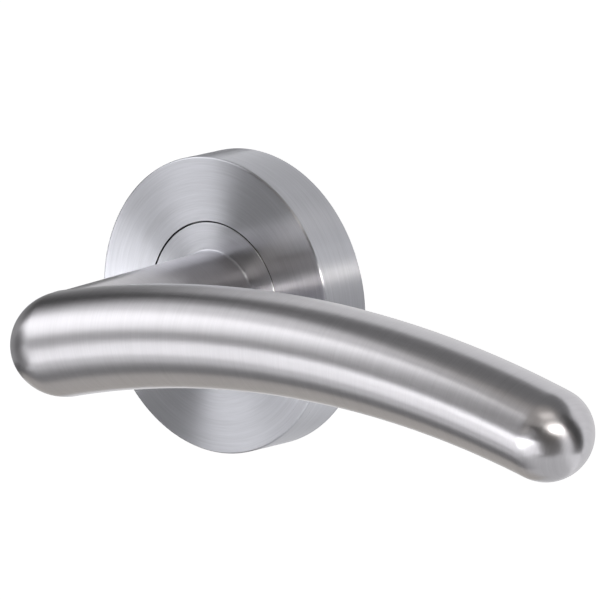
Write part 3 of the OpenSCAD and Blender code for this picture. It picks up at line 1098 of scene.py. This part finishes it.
@dataclass
class FixingPlate:
    """The die-cast plate, its two threaded lugs and the ring that holds the cover.

    Attributes:
        lug_place: Distance of the lugs from the spindle's axis.
        lug_reach: How far the lugs stand into the door.
        thread_line: Distance of the thread's ridge from the axis of its hole.
        thread_pitch: Pitch of the thread.
        thread_end: Where the threaded hole ends, out of the door.
        thread_plain: Plain length at each end of the hole.
        thread_ridge: Radius of the thread's ridge, as a share of its pitch.
        ring_place: Distance of the snap ring's wire from the axis.
        ring_out: Distance of the snap ring from the door.
        ring_wire: Radius of its wire.
        ring_opening: Angle of its opening, which is at the bottom.
    """

    lug_place: float = 19.0
    lug_reach: float = 8.0
    thread_line: float = 1.63
    thread_pitch: float = 0.7
    thread_end: float = 4.9
    thread_plain: float = 0.6
    thread_ridge: float = 0.22
    ring_place: float = 24.15
    ring_out: float = 3.2
    ring_wire: float = 0.6
    ring_opening: float = 24.0

    BODY = "rose"

    def make_solid(self, finishes: Finishes) -> None:
        """Dresses the casting and the lugs."""
        dress_nodes(self.BODY,
                    ("plate", "mounting_plate", 0.25, finishes.casting, "zinc_casting"),
                    ("lugs", "fixing_lugs", 0.12, finishes.drawn, "plated_steel"))

    def make_threads(self, finishes: Finishes) -> Piece:
        """Grows the thread in both lugs."""
        growth = Growth("lug_threads")
        length = self.thread_end + self.lug_reach - 2 * self.thread_plain
        core, pitch, start, turns, reach = growth.sizes(
            core=self.thread_line, pitch=self.thread_pitch,
            start=self.thread_plain - self.lug_reach, turns=length / self.thread_pitch,
            reach=self.lug_place)
        curve, share = growth.path(points=600)
        turn = share * turns
        angle = turn * (2 * math.pi)
        helix = growth.bend(curve, core * angle.cos(), start + turn * pitch, core * angle.sin())
        thread = growth.sweep(helix, growth.round_profile(pitch * self.thread_ridge, points=6))
        both = growth.node("GeometryNodeJoinGeometry")
        for side in (-1, 1):
            shift = joined(growth.tree, 0.0, 0.0, reach * (side * MM))
            moved = growth.node("GeometryNodeTransform", Geometry=thread, Translation=shift)
            growth.tree.links.new(moved.outputs[0], both.inputs[0])
        return growth.finish(both.outputs[0], finishes.turned, self.BODY, "plated_steel")

    def make_ring(self, finishes: Finishes) -> Piece:
        """Grows the wire ring that the cover clicks over."""
        growth = Growth("snap_ring")
        radius, opening, out, wire = growth.sizes(
            radius=self.ring_place, opening=self.ring_opening, out=self.ring_out,
            wire=self.ring_wire - CLEARANCE)
        curve, share = growth.path(points=180)
        angle = ((opening * 0.5 - 90.0) + share * (360.0 - opening)) * math.radians(1)
        ring = growth.bend(curve, radius * angle.cos(), out, radius * angle.sin())
        shape = growth.sweep(ring, growth.round_profile(wire))
        return growth.finish(shape, finishes.spring, self.BODY, "spring_steel",
                             "cover_snap_ring")


@dataclass
class Mechanism:
    """Hub, spindle and the sprung return that shows at the open back.

    Attributes:
        leg_end: Distance of the ends of the spring's legs from the axis.
        leg_offset: Distance of a leg from the line between them.
        coil_radius: Radius of the coil's wire line.
        wire: Radius of the spring's wire.
        coil_out: Distance of the coil's first leg from the door.
        coil_pitch: Rise of the coil in its turn.
        washer_radius: Mean radius of the wave washer.
        washer_width: Width of its strip.
        washer_t: Thickness of its strip.
        washer_out: Distance of its lowest point from the door.
        washer_wave: Half the height of its waves.
        washer_waves: Number of its waves.
    """

    leg_end: float = 16.6
    leg_offset: float = 2.0
    coil_radius: float = 11.0
    wire: float = 0.75
    coil_out: float = 3.98
    coil_pitch: float = 1.55
    washer_radius: float = 9.6
    washer_width: float = 2.6
    washer_t: float = 0.25
    washer_out: float = 1.46
    washer_wave: float = 0.12
    washer_waves: int = 3

    def make_turning(self, finishes: Finishes) -> None:
        """Dresses what turns with the lever."""
        dress_nodes(Lever.BODY,
                    ("hub", "spindle_hub", 0.15, finishes.turned, "machined_steel"),
                    ("grub", "grub_screw", 0.12, finishes.black, "black_steel"),
                    ("square_spindle", "spindle", 0.3, finishes.drawn, "plated_steel"),
                    ("driver", "driver_plate", 0.12, finishes.plated, "plated_steel"),
                    ("washer", "flat_washer", 0.08, finishes.plated, "plated_steel"),
                    ("outer_ring", "retaining_ring", 0.1, finishes.black, "black_steel"))

    def make_fixed(self, finishes: Finishes) -> None:
        """Dresses what stays with the rose."""
        dress_nodes(FixingPlate.BODY,
                    ("bush", "bearing_bush", 0.12, finishes.nylon, "nylon"),
                    ("pin", "spring_pin", 0.15, finishes.turned, "machined_steel"))

    def make_spring(self, finishes: Finishes) -> Piece:
        """Grows the torsion spring: a leg in, a bend, a full turn, a bend and a leg out."""
        growth = Growth("spring")
        radius, offset, tip, pitch, out, wire = growth.sizes(
            radius=self.coil_radius, offset=self.leg_offset, tip=self.leg_end,
            pitch=self.coil_pitch, out=self.coil_out, wire=self.wire)
        leg, quarter = tip - radius - offset, offset * (math.pi / 2)
        coil = radius * (2 * math.pi)
        curve, share = growth.path(points=420)
        run = share * (leg * 2.0 + quarter * 2.0 + coil)
        lengths = (leg, quarter, coil, quarter, leg)
        parts = []
        for length in lengths:
            parts.append(run.math("MAXIMUM", 0.0).math("MINIMUM", length))
            run = run - length
        inward, first, turning, second, outward_leg = parts
        bend_in, angle, bend_out = first / offset, turning / radius, second / offset
        x = (tip - inward - offset * bend_in.sin() + radius * (angle.cos() - 1.0)
             + offset * (1.0 - bend_out.cos()) + outward_leg)
        z = (offset * (0.0 - bend_in.cos()) + radius * angle.sin() + offset * bend_out.sin())
        rise = out + pitch * turning / coil
        shape = growth.sweep(growth.bend(curve, x, rise, z), growth.round_profile(wire))
        return growth.finish(shape, finishes.spring, FixingPlate.BODY, "spring_steel",
                             "return_spring")

    def make_wave_washer(self, finishes: Finishes) -> Piece:
        """Grows the wave washer."""
        growth = Growth("wavy_washer")
        radius, width, thickness, wave, waves, out = growth.sizes(
            radius=self.washer_radius, width=self.washer_width, thickness=self.washer_t,
            wave=self.washer_wave, waves=self.washer_waves,
            out=self.washer_out + self.washer_t / 2)
        curve, share = growth.path(points=180, closed=True)
        angle = share * (2 * math.pi)
        rise = out + wave * (1.0 + (angle * waves).cos())
        ring = growth.bend(curve, radius * angle.cos(), rise, radius * angle.sin())
        shape = growth.sweep(ring, growth.flat_profile(width, thickness))
        return growth.finish(shape, finishes.spring, Lever.BODY, "spring_steel", "wave_washer")


# ---------------------------------------------------------------------------
# The studio
# ---------------------------------------------------------------------------

# Full white, the tint of a warm white, and the middle of the handle, which all boards face.
WHITE = (1.0, 1.0, 1.0, 1.0)
WARM = (1.05, 1.0, 0.93)
FACED = Vector((0.05, -0.05, 0.0))


def direction(azimuth: float, elevation: float) -> Vector:
    """The direction at an azimuth, from -Y towards +X, and an elevation, in degrees."""
    a, e = math.radians(azimuth), math.radians(elevation)
    return Vector((math.sin(a) * math.cos(e), -math.cos(a) * math.cos(e), math.sin(e)))


def sheet(name: str, width: float, height: float, z: float = 0.0) -> Piece:
    """A level rectangle about the Z axis, with its sizes and its height in metres."""
    w, h, level = width / 2 / MM, height / 2 / MM, z / MM
    corners = [(-w, -h, level), (w, -h, level), (w, h, level), (-w, h, level)]
    return new_piece(name, np.array(corners), [[0, 1, 2, 3]])


@dataclass(frozen=True)
class Board:
    """A flat board that faces the handle from afar: the front of a softbox, or a card.

    Attributes:
        name: Its name.
        azimuth: Direction from the handle, in degrees from -Y towards +X.
        elevation: Height of that direction above the horizon, in degrees.
        width: Width, in metres.
        height: Height, in metres.
        level: Brightness, where white paper is 1.
        distance: Distance, in metres.
        roll: Turn of the board in its own plane, in degrees.
        tint: Colour of the board.
        flat: Whether it lies level.
    """

    name: str
    azimuth: float
    elevation: float
    width: float
    height: float
    level: float
    distance: float
    roll: float
    tint: tuple[float, float, float] = (1.0, 1.0, 1.0)
    flat: bool = False

    def place(self, board: Piece) -> None:
        """Puts an object where the board stands, out of the camera's sight."""
        way = direction(self.azimuth, self.elevation)
        board.location = FACED + way * self.distance
        if self.flat:
            board.rotation_euler = (0, 0, math.radians(self.azimuth))
        else:
            board.rotation_euler = way.to_track_quat("Z", "Y").to_euler()
        board.rotation_euler.rotate_axis("Z", math.radians(self.roll))
        board.visible_camera = False

    def card(self) -> None:
        """Adds the board as metal sees it."""
        card = sheet(self.name, self.width, self.height)
        material, tree = new_material(self.name)
        glow = add_node(tree, "ShaderNodeEmission", Color=(*self.tint, 1), Strength=self.level)
        feed(tree, "Material Output", Surface=glow.outputs[0])
        card.data.materials.append(material)
        self.place(card)
        card.visible_diffuse = False
        card.visible_shadow = False
        card.visible_transmission = False

    def lamp(self, share: float) -> None:
        """Adds the light that the board throws on whatever isn't metal.

        Args:
            share: How much of the board's light that is.
        """
        data = bpy.data.lights.new(self.name, "AREA")
        data.shape = "RECTANGLE"
        data.size, data.size_y = self.width, self.height
        data.energy = share * math.pi * self.level * self.width * self.height
        lamp = bpy.data.objects.new(f"{self.name}_lamp", data)
        bpy.context.scene.collection.objects.link(lamp)
        self.place(lamp)
        lamp.visible_glossy = False


@dataclass
class Studio:
    """Floor, surroundings, lamps and camera.

    Attributes:
        camera_azimuth: Azimuth of the camera, in degrees from -Y towards +X.
        camera_elevation: Its elevation, in degrees.
        camera_distance: Its distance from the spindle's axis, in metres.
        camera_reach: How far it sees, in metres.
        lens: Its lens, in millimetres.
        sensor: Width of its sensor, in millimetres.
        aim_right: How far to the right of the axis it aims, in metres.
        aim_up: How far above the axis it aims, in metres.
        floor_drop: Depth of the floor under the axis, in metres.
        floor_size: Width of the floor, in metres.
        floor_paint: Paleness of the floor.
        floor_roughness: Its roughness.
        floor_glow: What it needs, besides its own paleness, to look white.
        room_level: Brightness of the room, for all that isn't shiny.
        lamp_share: Share of a softbox's light that its lamp throws on what isn't metal.
        softboxes: The softboxes, whose lamps also light what isn't metal.
        cards: The grey and black cards that keep the dark bands in the steel.
    """

    camera_azimuth: float = 41.71
    camera_elevation: float = 11.83
    camera_distance: float = 2.0
    camera_reach: float = 50.0
    lens: float = 692.4
    sensor: float = 36.0
    aim_right: float = 0.00818
    aim_up: float = -0.00061
    floor_drop: float = 1.6
    floor_size: float = 24.0
    floor_paint: float = 0.8
    floor_roughness: float = 0.9
    floor_glow: float = 0.68
    room_level: float = 0.45
    lamp_share: float = 0.5

    # Name, azimuth, elevation, width, height, level, distance, roll and, if it isn't white, tint.
    # Some boards overlap as the steel sees them; there the nearer one counts.
    softboxes: tuple[Board, ...] = (
        Board("left_softbox", -60, 30, 0.9, 0.9, 2.0, 1.32, -10),
        Board("left_upper_softbox", -65, 45, 0.6, 0.4, 1.1, 1.3, 10),
        Board("left_strip", -50, -20, 0.1, 0.9, 2.0, 1.32, 35),
        Board("low_strip", 5, -25, 2.2, 0.3, 4.5, 1.35, -20),
        Board("low_softbox", -5, -15, 1.2, 0.5, 5.0, 1.3, -5),
        Board("lower_softbox", 5, -25, 1.1, 0.6, 1.3, 1.26, 10),
        Board("right_softbox", 70, 20, 0.6, 0.15, 20.0, 1.3, 0, WARM),
        Board("slanted_strip", -10, 15, 0.6, 0.1, 1.6, 1.3, 45, WARM),
        Board("upper_softbox", 50, 55, 0.8, 0.3, 1.5, 1.5, 0, WARM),
    )
    cards: tuple[Board, ...] = (
        Board("floor_card", 0, -85, 4.2, 2.6, 0.65, 1.5, -30, flat=True),
        Board("ground_card", -110, -50, 0.9, 1.2, 0.5, 1.42, 10, WARM),
        Board("top_card", 25, 80, 8.0, 6.0, 0.2, 3.2, -20),
        Board("front_card", 0, 5, 4.0, 3.5, 0.02, 2.4, -20),
        Board("left_card", -95, -5, 1.6, 2.8, 0.05, 1.38, 40),
        Board("right_card", 115, 5, 1.3, 4.0, 0.05, 2.2, 25),
        Board("under_card", -40, -55, 0.8, 0.8, 0.45, 1.37, -30),
        Board("under_edge_card", -30, -35, 1.0, 0.3, 0.65, 1.36, 5),
        Board("left_grey_card", -100, -5, 2.3, 0.8, 0.35, 1.36, -10),
        Board("diagonal_strip", -30, -20, 5.0, 0.1, 1.8, 1.34, 35),
        Board("right_low_card", 50, -10, 1.5, 1.6, 0.1, 1.28, 10, WARM),
        Board("back_card", -170, 5, 2.5, 4.0, 0.9, 1.7, -20),
        Board("upper_card", 20, 55, 2.5, 1.7, 0.35, 1.8, 0, WARM),
        Board("edge_card", -65, -50, 0.4, 0.7, 0.2, 1.25, 30),
    )

    def make(self) -> None:
        """Builds the whole studio."""
        self._camera()
        self._world()
        self._floor()
        for board in self.softboxes:
            board.card()
            board.lamp(self.lamp_share)
        for board in self.cards:
            board.card()

    def _camera(self) -> None:
        """Puts the camera at its place and makes it the scene's own."""
        back = direction(self.camera_azimuth, self.camera_elevation)
        right = direction(self.camera_azimuth + 90, 0)
        up = back.cross(right)
        data = bpy.data.cameras.new("camera")
        data.lens = self.lens
        data.sensor_width = self.sensor
        data.clip_end = self.camera_reach
        camera = bpy.data.objects.new("camera", data)
        bpy.context.scene.collection.objects.link(camera)
        camera.location = back * self.camera_distance
        aim = right * self.aim_right + up * self.aim_up
        camera.rotation_euler = (camera.location - aim).to_track_quat("Z", "Y").to_euler()
        bpy.context.scene.camera = camera

    @staticmethod
    def _seen(tree: Tree) -> Field:
        """1 for what is seen directly, in metal or through glass, and 0 for all other light."""
        path = add_node(tree, "ShaderNodeLightPath")
        camera, glossy, clear = (Field(tree, path.outputs[f"Is {kind} Ray"])
                                 for kind in ("Camera", "Glossy", "Transmission"))
        return camera.math("MAXIMUM", glossy).math("MAXIMUM", clear)

    def _world(self) -> None:
        """White where it is seen, and a plain grey room for everything else."""
        world = bpy.data.worlds.new("studio")
        bpy.context.scene.world = world
        world.use_nodes = True
        tree = world.node_tree
        level = self.room_level + self._seen(tree) * (1 - self.room_level)
        feed(tree, "Background", Color=WHITE, Strength=level)

    def _floor(self) -> None:
        """A pale floor, white from above but for the shadow, and clear from below."""
        floor = sheet("floor", self.floor_size, self.floor_size, -self.floor_drop)
        material, tree = new_material("floor")
        below = Field(tree, add_node(tree, "ShaderNodeNewGeometry").outputs["Backfacing"])
        feed(tree, SHADER, Base_Color=(*[self.floor_paint] * 3, 1),
             Roughness=self.floor_roughness, Emission_Color=WHITE,
             Emission_Strength=self._seen(tree) * self.floor_glow, Alpha=1.0 - below)
        floor.data.materials.append(material)


def main() -> None:
    """Builds the handle piece by piece, then the studio round it."""
    logging.basicConfig(level=logging.INFO, format="%(message)s")
    bpy.context.scene.view_settings.view_transform = "Standard"
    lever = Lever()
    finishes = Finishes(grip=MetalFinish(
        "brushed_grip", (0.56, 0.55, 0.575), 0.28, 0.6, streak=0.09, flutter=0.004,
        lay=Lay.ROUND_BAR, path=lever.path))
    lever.make_handle(finishes.grip)
    lever.make_flange(finishes)
    Rose().make_cover(finishes)
    plate = FixingPlate()
    plate.make_solid(finishes)
    plate.make_threads(finishes)
    plate.make_ring(finishes)
    mechanism = Mechanism()
    mechanism.make_turning(finishes)
    mechanism.make_fixed(finishes)
    mechanism.make_spring(finishes)
    mechanism.make_wave_washer(finishes)
    Studio().make()


if __name__ == "__main__":
    main()
